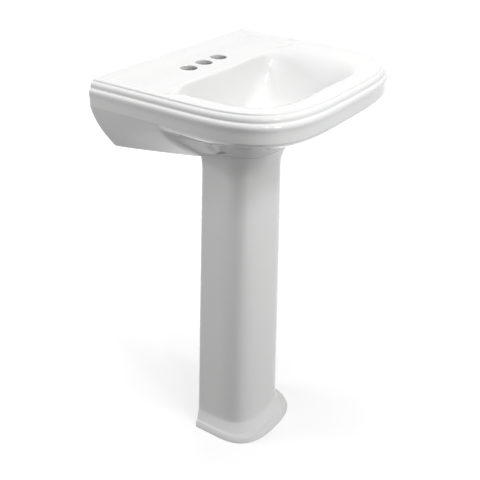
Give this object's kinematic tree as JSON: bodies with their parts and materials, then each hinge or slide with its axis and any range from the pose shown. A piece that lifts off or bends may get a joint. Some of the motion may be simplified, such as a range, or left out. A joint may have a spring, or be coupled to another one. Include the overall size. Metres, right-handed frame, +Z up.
{
  "type": "pedestal washbasin",
  "caption": "White china pedestal washbasin with a rolled rim, dished tap ledge, bowed front, push-to-open drain and a flared open-backed pedestal.",
  "frame": {"origin": "middle of the line where the wall meets the floor", "axes": "+Z up; -Y out from the wall towards the user; +X to the right for someone facing the basin"},
  "size_m": [0.5238, 0.4799, 0.864],
  "materials": {
    "china": "glossy white glaze",
    "chrome": "polished",
    "brass": "plain machined",
    "steel": "zinc plated",
    "rubber": "matt",
    "nylon": "matt"
  },
  "bodies": {
    "basin_and_pedestal": {"basin": "china", "pedestal": "china", "waste_body": "chrome", "waste_flange_seal": "rubber", "stopper_spring": "steel", "cartridge_body": "brass", "latch_wire": "steel", "waste_gasket": "rubber", "waste_washer": "nylon", "waste_backnut": "brass", "tailpiece": "chrome", "tailpiece_seal": "rubber", "tailpiece_nut": "chrome", "wall_studs": "steel", "wall_sleeves": "nylon", "wall_washers": "steel", "wall_nuts": "steel"},
    "stopper": {"stopper_cap": "chrome", "stopper_seal": "rubber", "stopper_plunger": "brass"}
  },
  "joints": [
    {"name": "stopper_push", "type": "slide", "parent": "basin_and_pedestal", "child": "stopper", "axis": [0, 0, 1], "range_m": [-0.008, 0], "stiffness_N_per_m": 500, "springref_m": 0.012, "deforming": ["stopper_spring"]}
  ]
}
